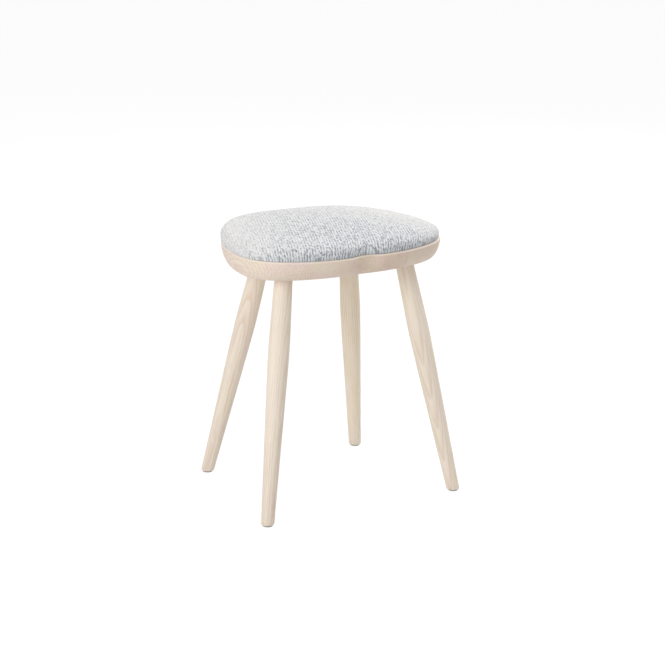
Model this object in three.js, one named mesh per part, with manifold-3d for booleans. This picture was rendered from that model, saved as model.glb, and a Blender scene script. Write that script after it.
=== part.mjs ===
// A vanity stool: four turned, splayed legs carry a solid wooden seat base with an upholstered pad.
// Millimetres, +Z up. The notched front of the seat faces -Y and the feet stand on the plane Z = 0.

import * as THREE from 'three';
import { mergeVertices } from 'three/addons/utils/BufferGeometryUtils.js';
import Module from 'manifold-3d';

const wasm = await Module();
wasm.setup();

// Clearance between neighbours, and how far a cutter runs past what it cuts
const fitGap = 0.3;
const overrun = 4;

// Wooden seat base, measured at its top arris
const seatHeight = 436.5;
const baseThickness = 35.5;
const seatWidth = 368;
const frontReach = 163;
const backReach = 132.8;
const widestAhead = 56;
const notchDepth = 8;
const lobeSpacing = 66;
const arrisBevel = 1.2;

// How far the underside lies inside the top arris
const undercutFront = 28;
const undercutSide = 13;

// Sockets of the legs: how far each axis lies inside the seat's edges, at the underside of the base
const socketInsetSideFront = 71.25;
const socketInsetSideBack = 101.75;
const socketInsetFront = 81.5;
const socketInsetBack = 79.3;

// How far each foot stands out from below its socket, sideways and forwards or backwards
const splayOutFront = 65.75;
const splayOutBack = 66.25;
const splayForward = 63;
const splayBackward = 91;

// Turned legs
const footDiameter = 21.7;
const bellyDiameter = 35;
const neckDiameter = 29.4;

// Round tenons, each spread by a wedge
const tenonDiameter = 22;
const wedgeLength = 20;
const wedgeDepth = 24;
const wedgeThickness = 3.2;
const wedgeTip = 1;

// Glides under the feet, held by a pin
const glideDiameter = 17;
const glideThickness = 2.5;
const glideChamfer = 0.6;
const pinDiameter = 2.4;
const pinLength = 14;

// Pad: the board, the foam and its wadding, inside the cover
const boardThickness = 9;
const waddingThickness = 3;
const coverThickness = 1.2;
const hemWidth = 22;
const padDrawIn = 1.6;
const padFullestHeight = 3.4;
const padEdgeHeight = 21.5;
const padRoll = 19;
const padCrown = 9;

// Screws from below, through the base and into the board, at insets from the seat's edges
const screwInsetSideFront = 129;
const screwInsetSideBack = 139;
const screwInsetFront = 59;
const screwInsetBack = 47;
const screwDiameter = 4;
const screwHeadDiameter = 8.4;
const screwHeadHeight = 3;
const screwPoint = 3;
const screwBite = 7;
const driveDiameter = 3.6;
const driveDepth = 1.6;
const counterboreDiameter = 12;
const counterboreDepth = 12;

// Shares of the sizes above that shape the seat's outline, one for each handle of its curves
const notchMiddleShare = 0.5;
const notchLobeShare = 0.37;
const lobeShare = 0.365;
const cornerFrontShare = 0.77;
const cornerBackShare = 0.17;
const shoulderAcrossShare = 0.682;
const shoulderBackShare = 0.76;
const shoulderSideShare = 0.425;
const shoulderRearShare = 0.355;
const backMiddleShare = 0.3;
const shoulderDegrees = 43.5;

// Shares of the rim's height and undercut at the two handles of its profile
const rimUpperShare = 0.45;
const rimLowerShare = 0.55;

// Shares of the leg's height and of its taper that shape the turned profile
const bellyHeightShare = 0.7;
const taperHandleShare = 0.34;
const taperWidthShare = 0.32;
const bellyLowerShare = 0.12;
const bellyUpperShare = 0.2;
const neckHandleShare = 0.35;
const neckWidthShare = 0.37;

// Shares of the pad's roll that shape its edge
const rollUprightShare = 0.62;
const rollOverShare = 0.48;

// How finely curves are divided
const outlineSteps = [5, 10, 12, 9];
const rimSteps = 8;
const rollSteps = 4;
const crownShares = [0.4, 0.75];
const legSides = 20;
const holeSides = 16;
const smallSides = 12;
const taperSteps = 7;
const neckSteps = 5;

const undersideHeight = seatHeight - baseThickness;
const corners = [
  { name: 'front_left', side: -1, front: true },
  { name: 'front_right', side: 1, front: true },
  { name: 'back_left', side: -1, front: false },
  { name: 'back_right', side: 1, front: false },
];

const finishes = {
  wood: { color: 0xe2d2c0, roughness: 0.62, metalness: 0 },
  endGrain: { color: 0xcdb79c, roughness: 0.75, metalness: 0 },
  plywood: { color: 0xd2b58c, roughness: 0.8, metalness: 0 },
  foam: { color: 0xf0e7c8, roughness: 0.95, metalness: 0 },
  wadding: { color: 0xf6f6f4, roughness: 1, metalness: 0 },
  cloth: { color: 0xd3d6d9, roughness: 0.95, metalness: 0 },
  steel: { color: 0xb4b7ba, roughness: 0.35, metalness: 1 },
  glide: { color: 0x8f8c88, roughness: 0.55, metalness: 0 },
};

function named(name, geometry, finish) {
  const mesh = new THREE.Mesh(geometry, new THREE.MeshStandardMaterial(finishes[finish]));
  mesh.name = name;
  return mesh;
}

// Solids: joining and cutting closed surfaces

function withoutFlatTriangles(index) {
  const kept = [];
  for (let i = 0; i < index.length; i += 3) {
    const [a, b, c] = [index[i], index[i + 1], index[i + 2]];
    if (a !== b && b !== c && c !== a) kept.push(a, b, c);
  }
  return kept;
}

function welded(geometry) {
  const bare = new THREE.BufferGeometry();
  bare.setAttribute('position', geometry.getAttribute('position').clone());
  bare.setIndex(geometry.getIndex());
  const merged = mergeVertices(bare);
  merged.setIndex(withoutFlatTriangles(merged.getIndex().array));
  return merged;
}

function solidOf(geometry) {
  const merged = welded(geometry);
  const vertProperties = new Float32Array(merged.getAttribute('position').array);
  const triVerts = new Uint32Array(merged.getIndex().array);
  return new wasm.Manifold(new wasm.Mesh({ numProp: 3, vertProperties, triVerts }));
}

function geometryOf(solid) {
  const mesh = solid.getMesh();
  const geometry = new THREE.BufferGeometry();
  geometry.setAttribute('position', new THREE.BufferAttribute(new Float32Array(mesh.vertProperties), 3));
  geometry.setIndex(new THREE.BufferAttribute(new Uint32Array(mesh.triVerts), 1));
  return geometry;
}

function cutFrom(solid, cutters) {
  return cutters.reduce((rest, cutter) => rest.subtract(solidOf(cutter)), solid);
}

function joinStations(index, upper, lower) {
  const count = Math.max(upper.count, lower.count);
  for (let i = 0; i < count; i += 1) {
    const next = (i + 1) % count;
    const [a, b] = upper.count === 1 ? [upper.start, upper.start] : [upper.start + i, upper.start + next];
    const [c, d] = lower.count === 1 ? [lower.start, lower.start] : [lower.start + i, lower.start + next];
    index.push(a, c, d, a, d, b);
  }
}

// A closed surface through stations, each a ring of points or a single point, first and last a point
function closedSurface(stations) {
  const points = stations.flat();
  const index = [];
  let start = 0;
  const spans = stations.map((station) => {
    const span = { start, count: station.length };
    start += station.length;
    return span;
  });
  for (let i = 0; i + 1 < spans.length; i += 1) joinStations(index, spans[i], spans[i + 1]);
  const geometry = new THREE.BufferGeometry().setFromPoints(points);
  geometry.setIndex(index);
  return welded(geometry);
}

// The seat's outline, as four curves for the right half and their mirror image

function handle(point, degrees, length) {
  const turn = THREE.MathUtils.degToRad(degrees);
  return point.clone().add(new THREE.Vector2(Math.cos(turn), Math.sin(turn)).multiplyScalar(length));
}

function outlineCurves({ halfWidth, front, back, notch }) {
  const middle = new THREE.Vector2(0, notch - front);
  const lobe = new THREE.Vector2(lobeSpacing / 2, -front);
  const widest = new THREE.Vector2(halfWidth, -widestAhead);
  const shoulder = new THREE.Vector2(halfWidth * shoulderAcrossShare, back * shoulderBackShare);
  const rear = new THREE.Vector2(0, back);
  const side = widest.distanceTo(shoulder);
  const cornerTurn = 180 - shoulderDegrees;
  const handles = [
    handle(middle, 0, lobe.x * notchMiddleShare),
    handle(lobe, 180, lobe.x * notchLobeShare),
    handle(lobe, 0, (halfWidth - lobe.x) * lobeShare),
    handle(widest, -90, (front - widestAhead) * cornerFrontShare),
    handle(widest, 90, side * cornerBackShare),
    handle(shoulder, cornerTurn + 180, side * shoulderSideShare),
    handle(shoulder, cornerTurn, shoulder.distanceTo(rear) * shoulderRearShare),
    handle(rear, 0, shoulder.x * backMiddleShare),
  ];
  return [
    new THREE.CubicBezierCurve(middle, handles[0], handles[1], lobe),
    new THREE.CubicBezierCurve(lobe, handles[2], handles[3], widest),
    new THREE.CubicBezierCurve(widest, handles[4], handles[5], shoulder),
    new THREE.CubicBezierCurve(shoulder, handles[6], handles[7], rear),
  ];
}

function outline(sizes) {
  const curves = outlineCurves(sizes);
  const right = curves.flatMap((curve, i) => curve.getPoints(outlineSteps[i]).slice(0, -1));
  const rear = curves[curves.length - 1].getPoint(1);
  const left = right.slice(1).reverse().map((p) => new THREE.Vector2(-p.x, p.y));
  return [...right, rear, ...left];
}

const arrisOutline = outline({
  halfWidth: seatWidth / 2, front: frontReach, back: backReach, notch: notchDepth,
});
const undersideOutline = outline({
  halfWidth: seatWidth / 2 - undercutSide,
  front: frontReach - undercutFront,
  back: backReach - undercutSide,
  notch: 0,
});

function insetOutline(points, distance) {
  return points.map((point, i) => {
    const before = points[(i + points.length - 1) % points.length];
    const after = points[(i + 1) % points.length];
    const along = after.clone().sub(before).normalize();
    return new THREE.Vector2(point.x - along.y * distance, point.y + along.x * distance);
  });
}

const ringAt = (points, z) => points.map((p) => new THREE.Vector3(p.x, p.y, z));
const between = (from, to, share) => from.map((p, i) => p.clone().lerp(to[i], share));

// Wooden seat base

function rimRings() {
  const profile = new THREE.CubicBezierCurve(
    new THREE.Vector2(0, 0), new THREE.Vector2(0, rimUpperShare),
    new THREE.Vector2(rimLowerShare, 1), new THREE.Vector2(1, 1),
  );
  const height = baseThickness - arrisBevel;
  return profile.getPoints(rimSteps).map(({ x, y }) => {
    const level = between(arrisOutline, undersideOutline, x);
    return ringAt(level, seatHeight - arrisBevel - height * y);
  });
}

// The place that lies at some inset from the side and from the front or back of the seat
function insetPlace({ side, front }, insetSide, insetFrontOrBack) {
  const y = front ? insetFrontOrBack - frontReach : backReach - insetFrontOrBack;
  return new THREE.Vector2(side * (seatWidth / 2 - insetSide), y);
}

function socketPlace(corner) {
  return corner.front
    ? insetPlace(corner, socketInsetSideFront, socketInsetFront)
    : insetPlace(corner, socketInsetSideBack, socketInsetBack);
}

function legEnds(corner) {
  const { x, y } = socketPlace(corner);
  const out = corner.side * (corner.front ? splayOutFront : splayOutBack);
  const away = corner.front ? -splayForward : splayBackward;
  const socket = new THREE.Vector3(x, y, undersideHeight);
  const foot = new THREE.Vector3(x + out, y + away, 0);
  const along = socket.clone().sub(foot).normalize();
  return { foot, socket, along };
}

// Moves a shape made along +Y from the origin, so that it starts at a point and runs along a direction
function placedAlong(geometry, start, along) {
  const turn = new THREE.Quaternion().setFromUnitVectors(new THREE.Vector3(0, 1, 0), along);
  return geometry.applyQuaternion(turn).translate(start.x, start.y, start.z);
}

function rod(diameter, length, sides) {
  return new THREE.CylinderGeometry(diameter / 2, diameter / 2, length, sides).translate(0, length / 2, 0);
}

function upright(diameter, x, y, from, to, sides) {
  const start = new THREE.Vector3(x, y, from);
  return placedAlong(rod(diameter, to - from, sides), start, new THREE.Vector3(0, 0, 1));
}

function mortise(corner) {
  const { socket, along } = legEnds(corner);
  const reach = tenonDiameter / 2 + overrun;
  const start = socket.clone().addScaledVector(along, -reach);
  const length = baseThickness / along.z + 2 * reach;
  return placedAlong(rod(tenonDiameter + 2 * fitGap, length, legSides), start, along);
}

function screwPlace(corner) {
  return corner.front
    ? insetPlace(corner, screwInsetSideFront, screwInsetFront)
    : insetPlace(corner, screwInsetSideBack, screwInsetBack);
}

function screwHoles(corner) {
  const { x, y } = screwPlace(corner);
  const low = undersideHeight - overrun;
  const shoulder = undersideHeight + counterboreDepth;
  return [
    upright(screwDiameter + 2 * fitGap, x, y, low, seatHeight + overrun, holeSides),
    upright(counterboreDiameter, x, y, low, shoulder, holeSides),
  ];
}

function seatBase() {
  const top = ringAt(insetOutline(arrisOutline, arrisBevel), seatHeight);
  const body = closedSurface([
    [new THREE.Vector3(0, 0, seatHeight)], top, ...rimRings(), [new THREE.Vector3(0, 0, undersideHeight)],
  ]);
  const cutters = corners.flatMap((corner) => [mortise(corner), ...screwHoles(corner)]);
  return named('seat_base', geometryOf(cutFrom(solidOf(body), cutters)), 'wood');
}

// Turned legs

function legProfile(length) {
  const bellyHeight = length * bellyHeightShare;
  const neckLength = length - bellyHeight;
  const [foot, belly, neck] = [footDiameter / 2, bellyDiameter / 2, neckDiameter / 2];
  const taper = new THREE.CubicBezierCurve(
    new THREE.Vector2(foot, 0),
    new THREE.Vector2(foot + (belly - foot) * taperWidthShare, bellyHeight * taperHandleShare),
    new THREE.Vector2(belly, bellyHeight * (1 - bellyLowerShare)),
    new THREE.Vector2(belly, bellyHeight),
  );
  const shoulder = new THREE.CubicBezierCurve(
    new THREE.Vector2(belly, bellyHeight),
    new THREE.Vector2(belly, bellyHeight + neckLength * bellyUpperShare),
    new THREE.Vector2(neck + (belly - neck) * neckWidthShare, length - neckLength * neckHandleShare),
    new THREE.Vector2(neck, length),
  );
  return [...taper.getPoints(taperSteps), ...shoulder.getPoints(neckSteps).slice(1)];
}

// A turned body that runs past both of its ends, so that each end can be cut level
function turnedBody({ foot, socket, along }) {
  const length = foot.distanceTo(socket);
  const profile = legProfile(length);
  const reach = neckDiameter / 2;
  const points = [
    new THREE.Vector2(0, 0), ...profile,
    new THREE.Vector2(neckDiameter / 2, length + reach), new THREE.Vector2(0, length + reach),
  ];
  return placedAlong(new THREE.LatheGeometry(points, legSides), foot, along);
}

function levelCutter(x, y, from, to) {
  const width = 3 * bellyDiameter;
  return new THREE.BoxGeometry(width, width, to - from).translate(x, y, (from + to) / 2);
}

function tenonEnd({ socket, along }) {
  return socket.clone().addScaledVector(along, baseThickness / along.z);
}

function wedgeShape(extra) {
  const top = wedgeThickness / 2 + extra;
  const tip = wedgeTip / 2 + extra;
  const shape = new THREE.Shape();
  shape.moveTo(-tip, -wedgeDepth - extra);
  shape.lineTo(tip, -wedgeDepth - extra);
  shape.lineTo(top, overrun);
  shape.lineTo(-top, overrun);
  shape.closePath();
  return shape;
}

// A wedge driven down the tenon's own axis, lengthwise across the seat's grain, which runs front to back
function wedgeBlock(ends, length, extra) {
  const block = new THREE.ExtrudeGeometry(wedgeShape(extra), { depth: length, bevelEnabled: false });
  block.translate(0, 0, -length / 2).rotateY(Math.PI / 2);
  const end = tenonEnd(ends);
  return placedAlong(block, end, ends.along);
}

function leg(corner) {
  const ends = legEnds(corner);
  const { foot, socket, along } = ends;
  const reach = neckDiameter;
  const floorLevel = glideThickness + fitGap;
  const body = cutFrom(solidOf(turnedBody(ends)), [
    levelCutter(foot.x, foot.y, -reach, floorLevel),
    levelCutter(socket.x, socket.y, undersideHeight - fitGap, undersideHeight + 2 * reach),
  ]);
  const start = socket.clone().addScaledVector(along, -reach);
  const rough = solidOf(placedAlong(rod(tenonDiameter, baseThickness + 2 * reach, legSides), start, along));
  const end = tenonEnd(ends);
  const tenon = cutFrom(rough, [levelCutter(end.x, end.y, seatHeight, seatHeight + 2 * reach)]);
  const kerf = wedgeBlock(ends, tenonDiameter + 2 * overrun, fitGap);
  const footPoint = foot.clone().addScaledVector(along, floorLevel / along.z);
  const pinTop = floorLevel + pinLength + fitGap;
  const pinHole = upright(pinDiameter + 2 * fitGap, footPoint.x, footPoint.y, 0, pinTop, smallSides);
  return named(`leg_${corner.name}`, geometryOf(cutFrom(body.add(tenon), [kerf, pinHole])), 'wood');
}

function wedge(corner) {
  const ends = legEnds(corner);
  const end = tenonEnd(ends);
  const block = solidOf(wedgeBlock(ends, wedgeLength, 0));
  const cut = cutFrom(block, [levelCutter(end.x, end.y, seatHeight, seatHeight + bellyDiameter)]);
  return named(`leg_wedge_${corner.name}`, geometryOf(cut), 'endGrain');
}

// A glide: a thin disc on the floor with a pin that is driven up into the leg
function footGlide(corner) {
  const { foot, along } = legEnds(corner);
  const place = foot.clone().addScaledVector(along, glideThickness / along.z);
  const radius = glideDiameter / 2;
  const points = [
    new THREE.Vector2(0, 0),
    new THREE.Vector2(radius - glideChamfer, 0),
    new THREE.Vector2(radius, glideChamfer),
    new THREE.Vector2(radius, glideThickness),
    new THREE.Vector2(pinDiameter / 2, glideThickness),
    new THREE.Vector2(pinDiameter / 2, glideThickness + pinLength - pinDiameter),
    new THREE.Vector2(0, glideThickness + pinLength),
  ];
  const turned = welded(new THREE.LatheGeometry(points, holeSides));
  const glide = named(`foot_glide_${corner.name}`, turned, 'glide');
  glide.rotation.x = Math.PI / 2;
  glide.position.set(place.x, place.y, 0);
  return glide;
}

// Pad: every layer follows one form, set in by the layers outside it

const padFloor = seatHeight + fitGap;
const boardBottom = padFloor + coverThickness + fitGap;
const foamBottom = boardBottom + boardThickness + fitGap;
const boardInset = padDrawIn + coverThickness + waddingThickness + 2 * fitGap;

function rollProfile() {
  const rise = padEdgeHeight - padFullestHeight;
  const crownSlope = 2 * padCrown / (seatWidth / 2 - padRoll);
  const overHandle = padRoll * (1 - rollOverShare);
  return new THREE.CubicBezierCurve(
    new THREE.Vector2(0, padFullestHeight),
    new THREE.Vector2(0, padFullestHeight + rise * rollUprightShare),
    new THREE.Vector2(padRoll - overHandle, padEdgeHeight - crownSlope * overHandle),
    new THREE.Vector2(padRoll, padEdgeHeight),
  ).getPoints(rollSteps).reverse();
}

// Stations of the pad's form from the crown's middle down to its fullest place, set in by some depth
function padForm(depth) {
  const middle = new THREE.Vector2(0, (backReach - frontReach) / 2);
  const rim = insetOutline(arrisOutline, padRoll + depth);
  const crown = [0, ...crownShares].map((share) => {
    const level = rim.map((p) => middle.clone().lerp(p, share));
    return ringAt(level, seatHeight + padEdgeHeight + padCrown * (1 - share * share) - depth);
  });
  const roll = rollProfile().map(({ x, y }) => (
    ringAt(insetOutline(arrisOutline, x + depth), seatHeight + y - depth)
  ));
  return [crown[0].slice(0, 1), ...crown.slice(1), ...roll];
}

function padStationsAbove(level, depth) {
  return padForm(depth).filter((station) => station[0].z > level + fitGap);
}

// The part of the form above a level, with an upright side down to that level
function padFormAbove(level, depth) {
  const stations = padStationsAbove(level, depth);
  const lowest = stations[stations.length - 1];
  return [...stations, lowest.map((p) => new THREE.Vector3(p.x, p.y, level))];
}

function padCover() {
  const drawnIn = padDrawIn + coverThickness;
  const hemOuter = insetOutline(arrisOutline, padDrawIn);
  const hemInner = insetOutline(arrisOutline, padDrawIn + hemWidth);
  const hemTop = padFloor + coverThickness;
  const outside = [...padForm(0), ringAt(hemOuter, padFloor), ringAt(hemInner, padFloor)];
  const inside = padForm(coverThickness).slice(0, -1);
  const underneath = [ringAt(hemInner, hemTop), ringAt(insetOutline(arrisOutline, drawnIn), hemTop)];
  return named('pad_cover', closedSurface([...outside, ...underneath, ...inside.reverse()]), 'cloth');
}

// The wadding lies over the foam and comes down around the edge of the board
function padWadding() {
  const depth = coverThickness + fitGap;
  const besideBoard = insetOutline(arrisOutline, boardInset - fitGap);
  const outside = padFormAbove(boardBottom, depth);
  const around = [ringAt(besideBoard, boardBottom), ringAt(besideBoard, foamBottom)];
  const inside = padStationsAbove(foamBottom, depth + waddingThickness);
  return named('pad_wadding', closedSurface([...outside, ...around, ...inside.reverse()]), 'wadding');
}

function padFoam() {
  const stations = padFormAbove(foamBottom, coverThickness + waddingThickness + 2 * fitGap);
  return named('pad_foam', closedSurface([...stations, [new THREE.Vector3(0, 0, foamBottom)]]), 'foam');
}

function padBoard() {
  const edge = insetOutline(arrisOutline, boardInset);
  const boardTop = boardBottom + boardThickness;
  const board = closedSurface([
    [new THREE.Vector3(0, 0, boardTop)], ringAt(edge, boardTop),
    ringAt(edge, boardBottom), [new THREE.Vector3(0, 0, boardBottom)],
  ]);
  const pilots = corners.map((corner) => {
    const { x, y } = screwPlace(corner);
    const holeTop = boardBottom + screwBite + fitGap;
    return upright(screwDiameter + 2 * fitGap, x, y, boardBottom - overrun, holeTop, holeSides);
  });
  return named('pad_board', geometryOf(cutFrom(solidOf(board), pilots)), 'plywood');
}

function padScrew(corner) {
  const { x, y } = screwPlace(corner);
  const head = undersideHeight + counterboreDepth - fitGap - screwHeadHeight;
  const tip = boardBottom + screwBite - head;
  const [shank, rim] = [screwDiameter / 2, screwHeadDiameter / 2];
  const points = [
    new THREE.Vector2(0, driveDepth),
    new THREE.Vector2(driveDiameter / 2, driveDepth),
    new THREE.Vector2(driveDiameter / 2, 0),
    new THREE.Vector2(rim, 0),
    new THREE.Vector2(rim, screwHeadHeight),
    new THREE.Vector2(shank, screwHeadHeight),
    new THREE.Vector2(shank, tip - screwPoint),
    new THREE.Vector2(0, tip),
  ];
  const turned = welded(new THREE.LatheGeometry(points, smallSides));
  const screw = named(`pad_screw_${corner.name}`, turned, 'steel');
  screw.rotation.x = Math.PI / 2;
  screw.position.set(x, y, head);
  return screw;
}

const stool = new THREE.Group();
stool.add(seatBase());
corners.forEach((corner) => stool.add(leg(corner), wedge(corner), footGlide(corner)));
stool.add(padBoard(), padFoam(), padWadding(), padCover());
corners.forEach((corner) => stool.add(padScrew(corner)));

// The origin is on the floor, below the middle of the whole stool
const bounds = new THREE.Box3().setFromObject(stool);
stool.position.y = -(bounds.min.y + bounds.max.y) / 2;

export default stool;
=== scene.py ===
"""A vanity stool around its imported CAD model: turned legs, a notched seat base and a woven pad.

Metres, +Z up. The notched front of the seat faces -Y and the feet stand on the plane Z = 0.
"""

import math

import bmesh
import bpy
import numpy as np
from mathutils import Matrix, Vector


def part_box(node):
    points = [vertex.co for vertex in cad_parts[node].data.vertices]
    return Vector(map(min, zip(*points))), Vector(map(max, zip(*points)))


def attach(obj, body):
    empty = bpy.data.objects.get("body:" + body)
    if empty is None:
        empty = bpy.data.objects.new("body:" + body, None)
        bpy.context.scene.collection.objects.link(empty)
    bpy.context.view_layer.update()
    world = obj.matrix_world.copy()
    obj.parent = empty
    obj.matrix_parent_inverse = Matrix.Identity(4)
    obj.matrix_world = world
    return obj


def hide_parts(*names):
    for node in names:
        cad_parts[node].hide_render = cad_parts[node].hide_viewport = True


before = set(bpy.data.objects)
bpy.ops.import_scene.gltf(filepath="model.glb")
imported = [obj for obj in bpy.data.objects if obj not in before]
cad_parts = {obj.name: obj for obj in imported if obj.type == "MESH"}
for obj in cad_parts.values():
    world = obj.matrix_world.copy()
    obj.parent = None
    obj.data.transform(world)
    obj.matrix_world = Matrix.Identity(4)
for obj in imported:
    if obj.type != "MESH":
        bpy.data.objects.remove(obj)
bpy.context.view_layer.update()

# Seat, measured at its top arris; its place, width and heights come from the CAD model's seat base
FRONT_REACH = 0.163
WIDEST_AHEAD = 0.056
NOTCH_DEPTH = 0.008
LOBE_SPACING = 0.066
ARRIS_RADIUS = 0.002
UNDERCUT_FRONT = 0.028
UNDERCUT_SIDE = 0.013

# The seat's flat faces have a narrow border of their own, which keeps their shading flat
FLAT_BORDER = 0.004

seat_low, seat_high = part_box("seat_base")
HALF_WIDTH = seat_high.x
SEAT_TOP = seat_high.z
UNDERSIDE = seat_low.z
SEAT_MIDDLE = seat_low.y + FRONT_REACH
BACK_REACH = seat_high.y - SEAT_MIDDLE

# Shares of those sizes that shape the outline, one for each handle of its curves
NOTCH_MIDDLE_SHARE = 0.5
NOTCH_LOBE_SHARE = 0.37
LOBE_SHARE = 0.365
CORNER_FRONT_SHARE = 0.77
CORNER_BACK_SHARE = 0.17
SHOULDER_ACROSS_SHARE = 0.682
SHOULDER_BACK_SHARE = 0.76
SHOULDER_SIDE_SHARE = 0.425
SHOULDER_REAR_SHARE = 0.355
BACK_MIDDLE_SHARE = 0.3
SHOULDER_DEGREES = 43.5
RIM_UPPER_SHARE = 0.45
RIM_LOWER_SHARE = 0.55

# Legs: sockets as insets from the seat's edges, and how far each foot stands out from there
SOCKET_INSET_SIDE_FRONT = 0.07125
SOCKET_INSET_SIDE_BACK = 0.10175
SOCKET_INSET_FRONT = 0.0815
SOCKET_INSET_BACK = 0.0793
SPLAY_OUT_FRONT = 0.06575
SPLAY_OUT_BACK = 0.06625
SPLAY_FORWARD = 0.063
SPLAY_BACKWARD = 0.091
FOOT_RADIUS = 0.01085
BELLY_RADIUS = 0.0175
NECK_RADIUS = 0.0147
TENON_RADIUS = 0.011
GLIDE_THICKNESS = 0.0025
FIT_GAP = 0.0003
FOOT_ROUNDING = 0.0009

# Shares of the leg's length and of its taper that shape the turned profile
BELLY_HEIGHT_SHARE = 0.7
TAPER_HANDLE_SHARE = 0.34
TAPER_WIDTH_SHARE = 0.32
BELLY_LOWER_SHARE = 0.12
BELLY_UPPER_SHARE = 0.2
NECK_HANDLE_SHARE = 0.35
NECK_WIDTH_SHARE = 0.37

# Screws that hold the pad's board from below
SCREW_INSET_SIDE_FRONT = 0.129
SCREW_INSET_SIDE_BACK = 0.139
SCREW_INSET_FRONT = 0.059
SCREW_INSET_BACK = 0.047
SCREW_RADIUS = 0.002
COUNTERBORE_RADIUS = 0.006
COUNTERBORE_DEPTH = 0.012

# Pad: its form over the seat, a little to the left of it and higher at the left and the back
PAD_DRAW_IN = 0.0018
PAD_BULGE = 0.0003
PAD_FULLEST_HEIGHT = 0.0095
PAD_EDGE_HEIGHT = 0.0227
PAD_ROLL = 0.019
PAD_CROWN = 0.0084
PAD_SHIFT = -0.0014
PAD_LEAN_LEFT = 0.75
PAD_LEAN_BACK = 0.45
ROLL_UPRIGHT_SHARE = 0.55
ROLL_OVER_SHARE = 0.48
HEM_UPRIGHT_SHARE = 0.5

# How the pad swells as cloth over its stuffing
PAD_UNDERSIZE = 0.0005
PAD_VOXEL = 0.0045
PAD_PRESSURE = 12
PAD_STIFFNESS = 5
PAD_SWELL_LIMIT = 0.005
PAD_HELD_HEIGHT = 0.001
PAD_HOLD_REACH = 0.03
PAD_CROWN_HOLD = 0.8
PAD_FRAMES = 20

# How finely the curves are divided
NOTCH_STEPS = 12
FRONT_STEPS = 50
SIDE_STEPS = 44
BACK_STEPS = 34
RIM_STEPS = 24
ARRIS_STEPS = 4
TAPER_STEPS = 40
NECK_STEPS = 30
LEG_STEPS = 59
FOOT_STEPS = 3
LEG_SIDES = 64
BAR_SIDES = 48
CROWN_STEPS = 8
ROLL_STEPS = 14
HEM_STEPS = 6

# Camera, as fitted to the photograph
CAMERA_AZIMUTH = -28.85
CAMERA_ELEVATION = 15.97
CAMERA_DISTANCE = 3.76
CAMERA_TARGET = Vector((0.02245, 0.00404, 0.2648))
CAMERA_LENS = 119.74
CAMERA_SENSOR = 36

# Lamps: name, place, power in watts and width
LAMPS = (
    ("key", (-2.3, -1.4, 1.7), 25.5, 1.6),
    ("low_left", (-2.7, -0.6, 0.7), 10, 1.4),
    ("back_right", (2.0, 1.7, 1.7), 13, 2.0),
    ("right", (2.1, -1.0, 1.6), 3, 1.8),
    ("top_right", (1.3, 0.2, 2.4), 21.5, 1.6),
)
AMBIENT = 0.49

# Floor: its size and tones, and the shares of its lit part taken off and of white added for the camera
FLOOR_HALF = 30
FLOOR_PALE = (0.80, 0.80, 0.80, 1)
FLOOR_GREY = (0.76, 0.76, 0.76, 1)
FLOOR_DIMMED = 0.72
FLOOR_WHITE = 0.86
WHITE = (1, 1, 1, 1)

# The corners of the stool: name, side, and whether in front
CORNERS = (
    ("front_left", -1, True),
    ("front_right", 1, True),
    ("back_left", -1, False),
    ("back_right", 1, False),
)


# Curves and rings


def cubic(a, b, c, d, steps, whole=False):
    """Points along a cubic curve, with its last point only if whole"""
    t = np.arange(steps + whole)[:, None] / steps
    return a * (1 - t) ** 3 + 3 * b * t * (1 - t) ** 2 + 3 * c * t**2 * (1 - t) + d * t**3


def pair(x, y):
    return np.array((x, y), float)


def polar(degrees, length):
    turn = math.radians(degrees)
    return pair(math.cos(turn), math.sin(turn)) * length


def outline(half_width, front, back, notch):
    """The seat's outline from above, counterclockwise from the middle of the notch"""
    middle = pair(0, notch - front)
    lobe = pair(LOBE_SPACING / 2, -front)
    widest = pair(half_width, -WIDEST_AHEAD)
    shoulder = pair(half_width * SHOULDER_ACROSS_SHARE, back * SHOULDER_BACK_SHARE)
    rear = pair(0, back)
    side = np.linalg.norm(widest - shoulder)
    rearward = np.linalg.norm(shoulder - rear)
    turn = 180 - SHOULDER_DEGREES
    right = np.vstack((
        cubic(
            middle,
            middle + polar(0, lobe[0] * NOTCH_MIDDLE_SHARE),
            lobe + polar(180, lobe[0] * NOTCH_LOBE_SHARE),
            lobe,
            NOTCH_STEPS,
        ),
        cubic(
            lobe,
            lobe + polar(0, (half_width - lobe[0]) * LOBE_SHARE),
            widest + polar(-90, (front - WIDEST_AHEAD) * CORNER_FRONT_SHARE),
            widest,
            FRONT_STEPS,
        ),
        cubic(
            widest,
            widest + polar(90, side * CORNER_BACK_SHARE),
            shoulder + polar(turn + 180, side * SHOULDER_SIDE_SHARE),
            shoulder,
            SIDE_STEPS,
        ),
        cubic(
            shoulder,
            shoulder + polar(turn, rearward * SHOULDER_REAR_SHARE),
            rear + polar(0, shoulder[0] * BACK_MIDDLE_SHARE),
            rear,
            BACK_STEPS,
        ),
    ))
    left = right[:0:-1] * pair(-1, 1)
    return np.vstack((right, rear, left)) + pair(0, SEAT_MIDDLE)


def ways_out(points):
    """The direction that points straight out at each point of a closed outline"""
    along = np.roll(points, -1, axis=0) - np.roll(points, 1, axis=0)
    along /= np.linalg.norm(along, axis=1, keepdims=True)
    return np.column_stack((along[:, 1], -along[:, 0]))


def inset(points, distance):
    return points - distance * ways_out(points)


def at_level(points, z):
    return np.column_stack((points, np.full(len(points), z)))


def circle(radius, sides):
    turn = np.arange(sides) * math.tau / sides
    return np.column_stack((np.cos(turn), np.sin(turn))) * radius


def quarter_round(radius, steps):
    """How far in and how far along each point of a rounded edge lies, from its flat end"""
    turns = np.radians(np.linspace(0, 90, steps + 1))
    return [(radius * (1 - math.sin(turn)), radius * (1 - math.cos(turn))) for turn in turns]


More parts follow.
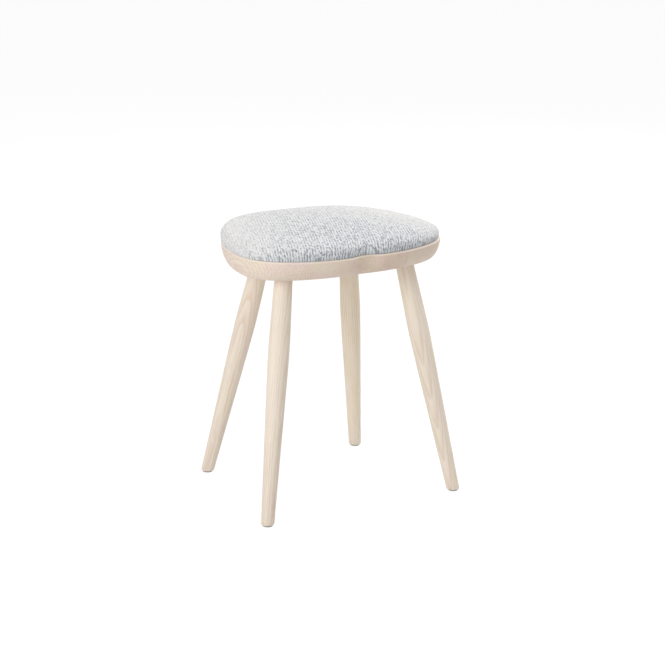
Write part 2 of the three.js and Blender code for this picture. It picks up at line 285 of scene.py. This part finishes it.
ARRIS = outline(HALF_WIDTH, FRONT_REACH, BACK_REACH, NOTCH_DEPTH)
UNDERSIDE_OUTLINE = outline(
    HALF_WIDTH - UNDERCUT_SIDE,
    FRONT_REACH - UNDERCUT_FRONT,
    BACK_REACH - UNDERCUT_SIDE,
    0,
)


# Meshes


def mesh_object(name, points, faces):
    mesh = bpy.data.meshes.new(name)
    mesh.from_pydata([tuple(p) for p in points], [], faces)
    made = bpy.data.objects.new(name, mesh)
    bpy.context.scene.collection.objects.link(made)
    return made


def face_outwards(piece):
    shape = bmesh.new()
    shape.from_mesh(piece.data)
    bmesh.ops.recalc_face_normals(shape, faces=shape.faces)
    shape.to_mesh(piece.data)
    shape.free()


def loft(name, rings):
    """A closed surface through rings of equally many points, with a face across each end"""
    count = len(rings[0])
    faces = []
    for ring in range(len(rings) - 1):
        for i in range(count):
            here = ring * count + i
            beside = ring * count + (i + 1) % count
            faces.append((here, beside, beside + count, here + count))
    last = (len(rings) - 1) * count
    faces.append(tuple(range(count)))
    faces.append(tuple(range(last, last + count)))
    made = mesh_object(name, np.vstack(rings), faces)
    face_outwards(made)
    return made


def coordinates(mesh):
    flat = np.empty(3 * len(mesh.vertices))
    mesh.vertices.foreach_get("co", flat)
    return flat.reshape(-1, 3)


def moved(points, matrix):
    rows = np.array(matrix)
    return points @ rows[:3, :3].T + rows[:3, 3]


def bake_modifiers(piece):
    """Turns what the piece's modifiers make into its own mesh"""
    shown = piece.evaluated_get(bpy.context.evaluated_depsgraph_get())
    baked = bpy.data.meshes.new_from_object(shown)
    piece.modifiers.clear()
    piece.data = baked


def cut(piece, cutters):
    for cutter in cutters:
        boolean = piece.modifiers.new("cut", "BOOLEAN")
        boolean.operation = "DIFFERENCE"
        boolean.solver = "EXACT"
        boolean.object = cutter
    bake_modifiers(piece)


def remove(pieces):
    for piece in pieces:
        bpy.data.objects.remove(piece)


def smooth(piece, sharp_degrees=40):
    piece.data.polygons.foreach_set("use_smooth", [True] * len(piece.data.polygons))
    piece.data.set_sharp_from_angle(angle=math.radians(sharp_degrees))


def bar(name, radius, start, along, length):
    """A round bar from a point along a direction"""
    made = loft(name, [at_level(circle(radius, BAR_SIDES), z) for z in (0, length)])
    turn = along.to_track_quat("Z", "Y").to_matrix().to_4x4()
    made.data.transform(Matrix.Translation(start) @ turn)
    return made


# Each point of a piece keeps its place in its material's own space under this name
PLACE = "material_place"


def keep_places(piece, places):
    layer = piece.data.attributes.new(PLACE, "FLOAT_VECTOR", "POINT")
    layer.data.foreach_set("vector", places.ravel())


# Seat base


def inset_place(side, front, inset_side, inset_end):
    y = inset_end - FRONT_REACH if front else BACK_REACH - inset_end
    return side * (HALF_WIDTH - inset_side), SEAT_MIDDLE + y


def leg_ends(side, front):
    """Where a leg's axis meets the floor and the underside of the seat"""
    if front:
        x, y = inset_place(side, front, SOCKET_INSET_SIDE_FRONT, SOCKET_INSET_FRONT)
        splay = (side * SPLAY_OUT_FRONT, -SPLAY_FORWARD)
    else:
        x, y = inset_place(side, front, SOCKET_INSET_SIDE_BACK, SOCKET_INSET_BACK)
        splay = (side * SPLAY_OUT_BACK, SPLAY_BACKWARD)
    return Vector((x + splay[0], y + splay[1], 0)), Vector((x, y, UNDERSIDE))


def screw_place(side, front):
    if front:
        return inset_place(side, front, SCREW_INSET_SIDE_FRONT, SCREW_INSET_FRONT)
    return inset_place(side, front, SCREW_INSET_SIDE_BACK, SCREW_INSET_BACK)


def seat_holes(side, front):
    """Bars to cut out at one corner: the leg's mortise, the screw's hole and its counterbore"""
    foot, socket = leg_ends(side, front)
    along = (socket - foot).normalized()
    reach = 2 * TENON_RADIUS
    x, y = screw_place(side, front)
    below = Vector((x, y, UNDERSIDE - reach))
    up = Vector((0, 0, 1))
    through = SEAT_TOP - UNDERSIDE + 2 * reach
    return [
        bar("mortise", TENON_RADIUS + FIT_GAP, socket - along * reach, along, through / along.z),
        bar("screw_hole", SCREW_RADIUS + FIT_GAP, below, up, through),
        bar("counterbore", COUNTERBORE_RADIUS, below, up, reach + COUNTERBORE_DEPTH),
    ]


def seat_base():
    arris = [
        at_level(inset(ARRIS, across), SEAT_TOP - down)
        for across, down in quarter_round(ARRIS_RADIUS, ARRIS_STEPS)
    ]
    rim_height = SEAT_TOP - ARRIS_RADIUS - UNDERSIDE
    profile = cubic(
        pair(0, 0),
        pair(0, RIM_UPPER_SHARE),
        pair(RIM_LOWER_SHARE, 1),
        pair(1, 1),
        RIM_STEPS,
        whole=True,
    )
    rim = [
        at_level(ARRIS * (1 - x) + UNDERSIDE_OUTLINE * x, SEAT_TOP - ARRIS_RADIUS - rim_height * y)
        for x, y in profile[1:]
    ]
    rings = [
        at_level(inset(ARRIS, FLAT_BORDER), SEAT_TOP),
        *arris,
        *rim,
        at_level(inset(UNDERSIDE_OUTLINE, FLAT_BORDER), UNDERSIDE),
    ]
    seat = loft("seat_shaped", rings)
    cutters = [hole for _, side, front in CORNERS for hole in seat_holes(side, front)]
    cut(seat, cutters)
    remove(cutters)
    smooth(seat)
    across_grain = coordinates(seat.data)[:, (0, 2, 1)]
    keep_places(seat, across_grain)
    return seat


# Legs


def leg_radius(height, length):
    """The turned radius at some height along a leg, from its foot"""
    belly_height = BELLY_HEIGHT_SHARE * length
    neck_length = length - belly_height
    taper = cubic(
        pair(FOOT_RADIUS, 0),
        pair(
            FOOT_RADIUS + (BELLY_RADIUS - FOOT_RADIUS) * TAPER_WIDTH_SHARE,
            belly_height * TAPER_HANDLE_SHARE,
        ),
        pair(BELLY_RADIUS, belly_height * (1 - BELLY_LOWER_SHARE)),
        pair(BELLY_RADIUS, belly_height),
        TAPER_STEPS,
    )
    neck = cubic(
        pair(BELLY_RADIUS, belly_height),
        pair(BELLY_RADIUS, belly_height + neck_length * BELLY_UPPER_SHARE),
        pair(
            NECK_RADIUS + (BELLY_RADIUS - NECK_RADIUS) * NECK_WIDTH_SHARE,
            length - neck_length * NECK_HANDLE_SHARE,
        ),
        pair(NECK_RADIUS, length),
        NECK_STEPS,
        whole=True,
    )
    profile = np.vstack((taper, neck))
    return np.interp(height, profile[:, 1], profile[:, 0])


def leg(name, side, front):
    """A turned leg, made with +Z along its axis, with its ends cut level with the floor"""
    foot, socket = leg_ends(side, front)
    axis = socket - foot
    length = axis.length
    turn = axis.to_track_quat("Z", "Y").to_matrix().to_4x4()
    tilt = np.array(turn.to_3x3())[2]
    unit = circle(1, LEG_SIDES)

    def level_ring(radius, z):
        """A ring around the axis, each point moved along it to one height above the floor"""
        across = unit * radius
        return np.column_stack((across, (z - across @ tilt[:2]) / tilt[2]))

    floor_level = GLIDE_THICKNESS + FIT_GAP
    shoulder_level = UNDERSIDE - FIT_GAP
    rings = [
        level_ring(FOOT_RADIUS - across, floor_level + up)
        for across, up in quarter_round(FOOT_ROUNDING, FOOT_STEPS)
    ]
    for z in np.linspace(floor_level + FOOT_ROUNDING, shoulder_level, LEG_STEPS + 1)[1:]:
        ring = level_ring(leg_radius(z / tilt[2], length), z)
        radius = leg_radius(ring[:, 2], length)[:, None]
        rings.append(level_ring(radius, z))
    rings.append(level_ring(TENON_RADIUS, shoulder_level))
    rings.append(level_ring(TENON_RADIUS, SEAT_TOP))
    turned = loft(f"leg_{name}_turned", rings)
    stand = Matrix.Translation(foot) @ turn
    turned.data.transform(stand)
    cut(turned, [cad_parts[f"leg_wedge_{name}"]])
    smooth(turned)
    keep_places(turned, moved(coordinates(turned.data), stand.inverted()))
    return turned


# Pad


def pad_profile():
    """The pad's edge from the rim of its crown down past the hem, as insets and heights"""
    slope = 2 * PAD_CROWN / (HALF_WIDTH - PAD_ROLL)
    over = (PAD_ROLL + PAD_BULGE) * (1 - ROLL_OVER_SHARE)
    rise = PAD_EDGE_HEIGHT - PAD_FULLEST_HEIGHT
    fullest = pair(-PAD_BULGE, PAD_FULLEST_HEIGHT)
    roll = cubic(
        pair(PAD_ROLL, PAD_EDGE_HEIGHT),
        pair(PAD_ROLL - over, PAD_EDGE_HEIGHT - slope * over),
        fullest + pair(0, rise * ROLL_UPRIGHT_SHARE),
        fullest,
        ROLL_STEPS,
    )
    hem = pair(PAD_DRAW_IN, 0)
    below = cubic(
        fullest,
        fullest - pair(0, PAD_FULLEST_HEIGHT * HEM_UPRIGHT_SHARE),
        (fullest + hem * 2) / 3,
        hem,
        HEM_STEPS,
        whole=True,
    )
    return np.vstack((roll, below, hem - pair(0, PAD_VOXEL)))


def pad_rings():
    """The pad's form from the middle of its crown down past the seat, slightly undersized"""
    middle = pair(0, SEAT_MIDDLE + (BACK_REACH - FRONT_REACH) / 2)
    rim = inset(ARRIS, PAD_ROLL + PAD_UNDERSIZE)
    crown = [
        at_level(middle + (rim - middle) * share, PAD_EDGE_HEIGHT + PAD_CROWN * (1 - share**2))
        for share in np.linspace(0, 1, CROWN_STEPS + 1)[1:-1]
    ]
    roll = [at_level(inset(ARRIS, x + PAD_UNDERSIZE), y) for x, y in pad_profile()]
    rings = np.array([*crown, *roll])
    rings[:, :, 2] *= 1 - PAD_UNDERSIZE / PAD_EDGE_HEIGHT
    rings[:, :, 2] *= 1 - PAD_LEAN_LEFT * rings[:, :, 0] + PAD_LEAN_BACK * rings[:, :, 1]
    return rings + (PAD_SHIFT, 0, SEAT_TOP + FIT_GAP)


def remesh(piece, size):
    voxels = piece.modifiers.new("voxels", "REMESH")
    voxels.mode = "VOXEL"
    voxels.voxel_size = size
    bake_modifiers(piece)


def from_arris(points):
    """For each point, how far it lies from the seat's arris seen from above, and the way out there"""
    gap = points[:, None, :2] - ARRIS[None, :, :]
    squared = (gap**2).sum(2)
    nearest = np.argmin(squared, axis=1)
    return np.sqrt(squared.min(1)), ways_out(ARRIS)[nearest]


def hold_strengths(points):
    """How firmly the stuffing holds the cover: wholly below, well over the crown, not at the sides"""
    distance, _ = from_arris(points)
    crown = np.clip((distance - PAD_ROLL / 2) / PAD_HOLD_REACH, 0, 1) * PAD_CROWN_HOLD
    below = points[:, 2] < SEAT_TOP + PAD_HELD_HEIGHT
    above = points[:, 2] > SEAT_TOP + PAD_EDGE_HEIGHT / 2
    return np.where(below, 1, np.where(above, crown, 0))


def swell(piece):
    """Blows the pad up as cloth over its stuffing, and moves each point no further than the limit"""
    start = coordinates(piece.data)
    held = piece.vertex_groups.new(name="held")
    for index, strength in enumerate(hold_strengths(start).tolist()):
        held.add([index], strength, "REPLACE")
    cloth = piece.modifiers.new("cloth", "CLOTH")
    cloth.settings.use_pressure = True
    cloth.settings.uniform_pressure_force = PAD_PRESSURE
    cloth.settings.tension_stiffness = PAD_STIFFNESS
    cloth.settings.vertex_group_mass = held.name
    cloth.settings.effector_weights.gravity = 0
    cloth.point_cache.frame_start = 1
    cloth.point_cache.frame_end = PAD_FRAMES
    for step in range(1, PAD_FRAMES + 1):
        bpy.context.scene.frame_set(step)
    shown = piece.evaluated_get(bpy.context.evaluated_depsgraph_get())
    change = coordinates(shown.data) - start
    piece.modifiers.clear()
    piece.vertex_groups.clear()
    bpy.context.scene.frame_set(1)
    distance = np.linalg.norm(change, axis=1, keepdims=True)
    least_distance = 1e-9
    change *= np.minimum(1, PAD_SWELL_LIMIT / np.maximum(distance, least_distance))
    piece.data.vertices.foreach_set("co", (start + change).ravel())


def subdivide(piece):
    finer = piece.modifiers.new("finer", "SUBSURF")
    finer.levels = 1
    bake_modifiers(piece)


def rest_on_seat(piece):
    """Flattens whatever of the pad lies below its resting plane"""
    points = coordinates(piece.data)
    points[:, 2] = np.maximum(points[:, 2], SEAT_TOP + FIT_GAP)
    piece.data.vertices.foreach_set("co", points.ravel())


def lay_cloth(piece):
    """Gives each point its place on the flat cloth: from above on the top, rolled out down the sides"""
    points = coordinates(piece.data)
    _, outward = from_arris(points)
    drop = np.maximum(SEAT_TOP + PAD_EDGE_HEIGHT - points[:, 2], 0)
    turned = np.arccos(np.clip(1 - drop / PAD_ROLL, 0, 1))
    extra = PAD_ROLL * (turned - np.sin(turned))
    keep_places(piece, np.column_stack((points[:, :2] + outward * extra[:, None], drop)))


def pad():
    cushion = loft("pad_cushion", pad_rings())
    remesh(cushion, PAD_VOXEL)
    swell(cushion)
    subdivide(cushion)
    rest_on_seat(cushion)
    smooth(cushion, sharp_degrees=60)
    lay_cloth(cushion)
    return cushion


# Material nodes


def node(tree, kind, inputs, **settings):
    """Adds a node and returns its outputs; inputs holds a value or an output for each socket"""
    made = tree.nodes.new("ShaderNode" + kind)
    for name, value in settings.items():
        setattr(made, name, value)
    for key, value in inputs.items():
        if isinstance(value, Field):
            value = value.socket
        if isinstance(value, bpy.types.NodeSocket):
            tree.links.new(value, made.inputs[key])
        else:
            made.inputs[key].default_value = value
    return made.outputs


class Field:
    """A number that varies over a surface; arithmetic on it adds Math nodes"""

    def __init__(self, tree, socket):
        self.tree = tree
        self.socket = socket

    def maths(self, operation, *others):
        outputs = node(self.tree, "Math", dict(enumerate((self, *others))), operation=operation)
        return Field(self.tree, outputs[0])

    def __add__(self, other):
        return self.maths("ADD", other)

    def __sub__(self, other):
        return self.maths("SUBTRACT", other)

    def __mul__(self, other):
        return self.maths("MULTIPLY", other)

    def __truediv__(self, other):
        return self.maths("DIVIDE", other)

    def __mod__(self, other):
        return self.maths("FLOORED_MODULO", other)

    def __gt__(self, other):
        return self.maths("GREATER_THAN", other)


def new_material(name):
    material = bpy.data.materials.new(name)
    material.use_nodes = True
    material.node_tree.nodes.clear()
    return material, material.node_tree


def finish_material(tree, bump_height, bump_distance, **shader):
    """Ends a material in its shader, with a bump from a height in metres"""
    inputs = {name.replace("_", " "): value for name, value in shader.items()}
    inputs["Normal"] = node(tree, "Bump", {"Height": bump_height, "Distance": bump_distance})[0]
    surface = node(tree, "BsdfPrincipled", inputs)[0]
    node(tree, "OutputMaterial", {"Surface": surface})


def kept_place(tree):
    return node(tree, "Attribute", {}, attribute_name=PLACE)["Vector"]


def object_place(tree):
    return node(tree, "TexCoord", {})["Object"]


def shifted(tree, place, move):
    return node(tree, "VectorMath", {0: place, 1: move}, operation="ADD")[0]


def parts_of(tree, place):
    return [Field(tree, socket) for socket in node(tree, "SeparateXYZ", {0: place})]


def noise(tree, place, scale, detail=2, roughness=0.5):
    inputs = {"Vector": place, "Scale": scale, "Detail": detail, "Roughness": roughness}
    return Field(tree, node(tree, "TexNoise", inputs)[0])


def random_of(tree, *values):
    """A random number from 0 to 1 for each set of whole numbers"""
    seed = node(tree, "CombineXYZ", dict(enumerate(values)))[0]
    return Field(tree, node(tree, "TexWhiteNoise", {"Vector": seed})[0])


def mixed(tree, share, first, second, blend="MIX"):
    inputs = {0: share, 6: first, 7: second}
    return node(tree, "Mix", inputs, data_type="RGBA", blend_type=blend)[2]


def ramp(tree, value, *stops):
    """Grey levels along a value, from pairs of place and level"""
    made = tree.nodes.new("ShaderNodeValToRGB")
    tree.links.new(value.socket, made.inputs[0])
    elements = made.color_ramp.elements
    while len(elements) < len(stops):
        elements.new(0.5)
    for element, (position, level) in zip(elements, stops):
        element.position = position
        element.color = (level, level, level, 1)
    return Field(tree, made.outputs[0])


# Wood

ASH_LIGHT = (0.91, 0.82, 0.72, 1)
ASH_DARK = (0.66, 0.51, 0.395, 1)
ASH_YELLOW = (1.0, 0.99, 0.94, 1)
ASH_HONEY = (1.0, 0.97, 0.87, 1)
ASH_PINK = (1.0, 0.945, 0.975, 1)
ASH_ROSY = (1.0, 0.975, 0.96, 1)
WEDGE_PITH = (0.04, 0.02, 0)
RING_WIDTH = 0.0034
RING_WANDER = 0.016
PITH_SLANT = 0.035
WOOD_BUMP = 0.00012
STREAK_RELIEF = 0.3

# How much each mark in the wood darkens it
EARLY_WOOD = 0.3
PORES = 0.25
PATCHES = 0.6
STREAKS = 0.9

# The seat, glued up from staves, with a painted highlight along its top arris, to a depth given in the
# arris's radii
SEAT_PITH = (0, -SEAT_TOP, 0)
STAVE_WIDTH = 0.095
STAVE_START = -0.017
STAVE_MOVE_ACROSS = 0.05
STAVE_MOVE_UP = 0.09
STAVE_MOVE_ALONG = 3
STAVE_TONE_STEP = 1.9
STAVE_TONE_START = 1.45
STAVE_TONES = 0.13
# Painted shade: the seat's ash is darker than the legs', standing in for the shade on its undercut rim,
# which faces down
SEAT_PAINTED_SHADE = 0.4
SEAT_EARLY_WOOD_LESS = 0.12
ARRIS_HIGHLIGHT_PALER = 0.6
ARRIS_HIGHLIGHT_DEPTH = 1.6


def grain(tree, place, squeeze, scale, detail=2, roughness=0.5):
    """Noise drawn out along the way the wood grew"""
    drawn_out = node(tree, "VectorMath", {0: place, 1: (1, 1, squeeze)}, operation="MULTIPLY")[0]
    return noise(tree, drawn_out, scale, detail, roughness)


def in_staves(tree, place):
    """Moves each glued-up stave of the seat to its own part of the log, and gives its tone"""
    stave = ((parts_of(tree, place)[0] - STAVE_START) / STAVE_WIDTH).maths("FLOOR")
    turn = random_of(tree, stave, 1)
    across = stave * -STAVE_WIDTH + turn * STAVE_MOVE_ACROSS
    move = node(tree, "CombineXYZ", {0: across, 1: turn * STAVE_MOVE_UP, 2: turn * STAVE_MOVE_ALONG})[0]
    tone = (stave * STAVE_TONE_STEP + STAVE_TONE_START).maths("SINE") * STAVE_TONES
    return shifted(tree, place, move), tone


def wood_material(name, source, move, tints, staved=False):
    """Pale ash: rings around a pith line that runs nearly along Z, porous on their inner side"""
    material, tree = new_material(name)
    place = shifted(tree, source(tree), move)
    if staved:
        # Painted highlight: the seat's colour is paler along its top arris, where the arris catches the
        # light
        arris_highlight = ramp(tree, parts_of(tree, place)[1] / ARRIS_RADIUS + ARRIS_HIGHLIGHT_DEPTH, (0, 0), (1, 1))
        place, tone = in_staves(tree, place)
    wander = grain(tree, place, squeeze=0.3, scale=11)
    x, y, z = parts_of(tree, place)
    x = x + z * PITH_SLANT
    radius = (x * x + y * y).maths("SQRT") + (wander - 0.5) * RING_WANDER
    ring = (radius / RING_WIDTH) % 1
    early = ramp(tree, ring, (0, 1), (0.22, 0.75), (0.5, 0.15), (0.92, 0), (1, 0.9))
    streaks = grain(tree, place, squeeze=0.04, scale=380, detail=3, roughness=0.6)
    pores = ramp(tree, grain(tree, place, squeeze=0.03, scale=1300), (0.5, 0), (0.65, 1)) * early
    patches = grain(tree, place, squeeze=0.25, scale=22, detail=3)
    blush = ramp(tree, grain(tree, place, squeeze=0.3, scale=55), (0.38, 0), (0.62, 1))
    darkness = early * EARLY_WOOD + pores * PORES + (patches - 0.5) * PATCHES + (streaks - 0.5) * STREAKS
    if staved:
        # On the seat: the staves' tones, less early wood, painted shade over all of it and a painted
        # highlight at the arris
        darkness = darkness + tone + SEAT_PAINTED_SHADE - early * SEAT_EARLY_WOOD_LESS - arris_highlight * ARRIS_HIGHLIGHT_PALER
    plain = mixed(tree, darkness.maths("MAXIMUM", 0), ASH_LIGHT, ASH_DARK)
    colour = mixed(tree, 1, plain, mixed(tree, blush, *tints), blend="MULTIPLY")
    height = pores * -1 + streaks * STREAK_RELIEF
    finish_material(tree, height, WOOD_BUMP, Base_Color=colour, Roughness=0.5, Specular_IOR_Level=0.4)
    return material


# Cloth

WARP_PITCH = 0.00124
WEFT_PITCH = 0.0033
YARN_DRIFT = 0.0014
YARN_DRIFT_SCALE = 60
# The pale yarn's painted light tints: warmer where painted lit, cooler in painted shade
YARN_PAINTED_LIT = (0.985, 0.965, 0.945, 1)
YARN_PAINTED_SHADED = (0.96, 0.965, 0.97, 1)
YARN_DARK = (0.32, 0.355, 0.41, 1)
TWILL_REPEAT = 4
FLOAT_HEIGHT = 0.6
YARN_ROUNDNESS = 0.4
CLOTH_BUMP = 0.0006
FUZZ_RELIEF = 0.3

# How many yarns one tone runs past before it changes
WARP_TONE_LENGTH = 1.5
WEFT_TONE_LENGTH = 2

# The cloth is painted darker, as shade, left of the middle, at the front and down the sides, and painted
# lighter with less contrast, as light and sheen, towards the ends and the back
SHADE_MIDDLE_X = -0.015
SHADE_LEVEL = 0.5
LIGHTER_TO_ENDS = 20
LIGHTER_TO_BACK = 2.5
SHADIER_DOWN_SIDES = 4
DARK_IN_SHADE = 0.9
DARK_IN_LIGHT = 0.34

# How much of the dark yarn shows, and painted shade: in the hollows between the yarns, down the sides,
# and most at the hem
DARK_YARN = 1.2
DARK_PATCHES = 0.3
SHADE_BETWEEN_YARNS = 0.35
MEAN_HEIGHT = 0.6
PAINTED_SHADE_DOWN_SIDES = 5
PAINTED_SHADE_AT_HEM = 16
HEM_SHADE_START = 0.009


def yarn_height(passed, within):
    """A yarn's height in the weave: it floats over two others, dips under two, and is round across"""
    floating = (passed * (math.tau / TWILL_REPEAT)).maths("SINE")
    return floating * FLOAT_HEIGHT + (within * math.pi).maths("SINE") * YARN_ROUNDNESS


def twill(tree, flat):
    """The height of a two-and-two twill, and how dark the yarn on top of it is"""
    drift = node(tree, "TexNoise", {"Vector": flat, "Scale": YARN_DRIFT_SCALE, "Detail": 2})["Color"]
    drift_sizes = (YARN_DRIFT,) * 3
    drifted = node(tree, "VectorMath", {0: drift, 1: drift_sizes, 2: flat}, operation="MULTIPLY_ADD")[0]
    x, y, _ = parts_of(tree, drifted)
    across = x / WARP_PITCH
    along = y / WEFT_PITCH
    warp = across.maths("FLOOR")
    weft = along.maths("FLOOR")
    warp_height = yarn_height((warp - along) % TWILL_REPEAT, across - warp)
    weft_height = yarn_height((across - weft - TWILL_REPEAT / 2) % TWILL_REPEAT, along - weft)
    warp_on_top = warp_height > weft_height
    warp_tone = random_of(tree, warp, (along / WARP_TONE_LENGTH).maths("FLOOR"))
    weft_tone = random_of(tree, (across / WEFT_TONE_LENGTH).maths("FLOOR"), weft)
    warp_dark = ramp(tree, warp_tone, (0.7, 0), (0.95, 0.8)) * warp_on_top
    weft_dark = ramp(tree, weft_tone, (0.3, 0.15), (0.95, 0.95)) * (warp_on_top * -1 + 1)
    return warp_height.maths("MAXIMUM", weft_height), warp_dark + weft_dark


def painted_shade_over_pad(tree, x, y, drop, patches):
    """How much painted shade lies on the cloth, from 0 where it is painted lightest to 1 where it is
    painted darkest
    """
    from_shade_middle = x - SHADE_MIDDLE_X
    painted_shade = from_shade_middle * from_shade_middle * -LIGHTER_TO_ENDS - y * LIGHTER_TO_BACK + drop * SHADIER_DOWN_SIDES
    return ramp(tree, painted_shade + SHADE_LEVEL + patches, (0, 0), (1, 1))


def cloth_material(name):
    """A steep twill of pale and grey mixed yarns, laid over the pad by its own map"""
    material, tree = new_material(name)
    flat = kept_place(tree)
    x, y, drop = parts_of(tree, flat)
    height, yarn = twill(tree, flat)
    patches = (noise(tree, flat, scale=90, detail=3, roughness=0.6) - 0.5) * DARK_PATCHES
    # Painted light and shade over the pad, with the random patches in it
    painted_shade = painted_shade_over_pad(tree, x, y, drop, patches)
    # Painted shade in the hollows between the yarns
    between = (height - MEAN_HEIGHT) * SHADE_BETWEEN_YARNS
    # The dark yarn and its random patches, with painted shade between the yarns and down the sides
    dark = yarn * DARK_YARN + patches - between + drop * PAINTED_SHADE_DOWN_SIDES
    # Painted shade under the roll, at the hem
    hem_shade = (drop - HEM_SHADE_START).maths("MAXIMUM", 0) * PAINTED_SHADE_AT_HEM
    # The dark yarn shows less, and with less contrast, where the cloth is painted lit; the hem's painted
    # shade is added on top
    share = dark * (painted_shade * DARK_IN_SHADE + DARK_IN_LIGHT) + hem_shade
    # The pale yarn is painted warmer where lit and cooler in the painted shade
    pale = mixed(tree, painted_shade, YARN_PAINTED_LIT, YARN_PAINTED_SHADED)
    colour = mixed(tree, share.maths("MAXIMUM", 0), pale, YARN_DARK)
    fuzz = noise(tree, flat, scale=2500)
    finish_material(
        tree,
        height + fuzz * FUZZ_RELIEF,
        CLOTH_BUMP,
        Base_Color=colour,
        Roughness=0.95,
        Specular_IOR_Level=0.2,
        Sheen_Weight=0.15,
        Sheen_Roughness=0.6,
    )
    return material


# Plain finishes

STEEL = (0.62, 0.63, 0.64)
GLIDE_GREY = (0.56, 0.54, 0.51)
PLYWOOD = (0.68, 0.53, 0.35)
ROUGHNESS_SPREAD = 0.2
FINISH_BUMP = 0.00005


def plain_material(name, colour, roughness, speckle, contrast=0.12, metallic=0.0):
    """A finish with a fine speckle in its colour and roughness"""
    material, tree = new_material(name)
    specks = noise(tree, object_place(tree), speckle, detail=3, roughness=0.6)
    darker = tuple(level * (1 - contrast) for level in colour) + (1,)
    shade = mixed(tree, specks, (*colour, 1), darker)
    rough = specks * ROUGHNESS_SPREAD + (roughness - ROUGHNESS_SPREAD / 2)
    finish_material(tree, specks, FINISH_BUMP, Base_Color=shade, Roughness=rough, Metallic=metallic)
    return material


def dress(piece, material):
    piece.data.materials.clear()
    piece.data.materials.append(material)


# Studio


def seen_white(tree):
    """1 for the rays that find a white background: the camera's, and those by way of metal or glass"""
    path = node(tree, "LightPath", {})
    seen = Field(tree, path["Is Camera Ray"]).maths("MAXIMUM", path["Is Glossy Ray"])
    return seen.maths("MAXIMUM", path["Is Transmission Ray"])


def studio_floor():
    half = FLOOR_HALF
    corners = [(-half, -half, 0), (half, -half, 0), (half, half, 0), (-half, half, 0)]
    floor = mesh_object("studio_floor", corners, [(0, 1, 2, 3)])
    material, tree = new_material("floor_white")
    tone = mixed(tree, noise(tree, object_place(tree), scale=40), FLOOR_PALE, FLOOR_GREY)
    seen = seen_white(tree)
    lit = node(tree, "BsdfDiffuse", {"Color": tone})[0]
    dimmed = node(tree, "MixShader", {0: seen * FLOOR_DIMMED, 1: lit})[0]
    white = node(tree, "Emission", {"Color": WHITE, "Strength": seen * FLOOR_WHITE})[0]
    surface = node(tree, "AddShader", {0: dimmed, 1: white})[0]
    node(tree, "OutputMaterial", {"Surface": surface})
    dress(floor, material)


def studio_world():
    world = bpy.data.worlds.new("studio")
    world.use_nodes = True
    tree = world.node_tree
    tree.nodes.clear()
    ambient = node(tree, "Background", {"Color": WHITE, "Strength": AMBIENT})[0]
    white = node(tree, "Background", {"Color": WHITE, "Strength": 1})[0]
    surface = node(tree, "MixShader", {0: seen_white(tree), 1: ambient, 2: white})[0]
    node(tree, "OutputWorld", {"Surface": surface})
    bpy.context.scene.world = world


def lamp(name, place, power, width):
    light = bpy.data.lights.new(name, "AREA")
    light.shape = "DISK"
    light.size = width
    light.energy = power
    holder = bpy.data.objects.new(name, light)
    bpy.context.scene.collection.objects.link(holder)
    holder.location = place
    holder.rotation_euler = (CAMERA_TARGET - Vector(place)).to_track_quat("-Z", "Y").to_euler()


def camera():
    azimuth = math.radians(CAMERA_AZIMUTH)
    elevation = math.radians(CAMERA_ELEVATION)
    back = Vector((
        math.sin(azimuth) * math.cos(elevation),
        -math.cos(azimuth) * math.cos(elevation),
        math.sin(elevation),
    ))
    lens = bpy.data.cameras.new("camera")
    lens.sensor_width = CAMERA_SENSOR
    lens.lens = CAMERA_LENS
    holder = bpy.data.objects.new("camera", lens)
    bpy.context.scene.collection.objects.link(holder)
    holder.location = CAMERA_TARGET + back * CAMERA_DISTANCE
    holder.rotation_euler = back.to_track_quat("Z", "Y").to_euler()
    bpy.context.scene.camera = holder


def studio():
    bpy.context.scene.view_settings.view_transform = "Standard"
    studio_floor()
    studio_world()
    for settings in LAMPS:
        lamp(*settings)
    camera()


# Assembly


def assemble(piece, material, slot, *replaced):
    """Gives a piece its material and its body, and hides the CAD nodes it stands for; the slot is not
    used
    """
    dress(piece, material)
    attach(piece, "root")
    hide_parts(*replaced)


def leg_pith(number):
    """How far each leg's axis lies from the pith line of its log, so that no two legs look alike"""
    return 0.06 + 0.013 * number, 0.021 * number - 0.03, number


def stool():
    seat_wood = wood_material("ash_seat", kept_place, SEAT_PITH, (ASH_YELLOW, ASH_PINK), staved=True)
    assemble(seat_base(), seat_wood, "wood", "seat_base")

    for number, (name, side, front) in enumerate(CORNERS):
        tints = (ASH_HONEY, ASH_YELLOW) if name == "back_right" else (ASH_YELLOW, ASH_ROSY)
        leg_wood = wood_material(f"ash_{name}", kept_place, leg_pith(number), tints)
        assemble(leg(name, side, front), leg_wood, "wood", f"leg_{name}")

    cushion = pad()
    assemble(cushion, cloth_material("woven_grey"), "cloth", "pad_cover", "pad_wadding", "pad_foam")


def dress_cad_nodes():
    """Gives the CAD's own screws, glides, wedges and board their materials"""
    steel = plain_material("screw_steel", STEEL, roughness=0.35, speckle=2000, metallic=1.0)
    glide = plain_material("glide_felt", GLIDE_GREY, roughness=0.85, speckle=1500, contrast=0.4)
    board = plain_material("plywood", PLYWOOD, roughness=0.75, speckle=120, contrast=0.3)
    wedge = wood_material("ash_wedge", object_place, WEDGE_PITH, (ASH_YELLOW, ASH_ROSY))
    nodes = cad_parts
    for name, _, _ in CORNERS:
        dress(nodes[f"pad_screw_{name}"], steel)
        dress(nodes[f"foot_glide_{name}"], glide)
        dress(nodes[f"leg_wedge_{name}"], wedge)
    dress(nodes["pad_board"], board)


stool()
dress_cad_nodes()
studio()
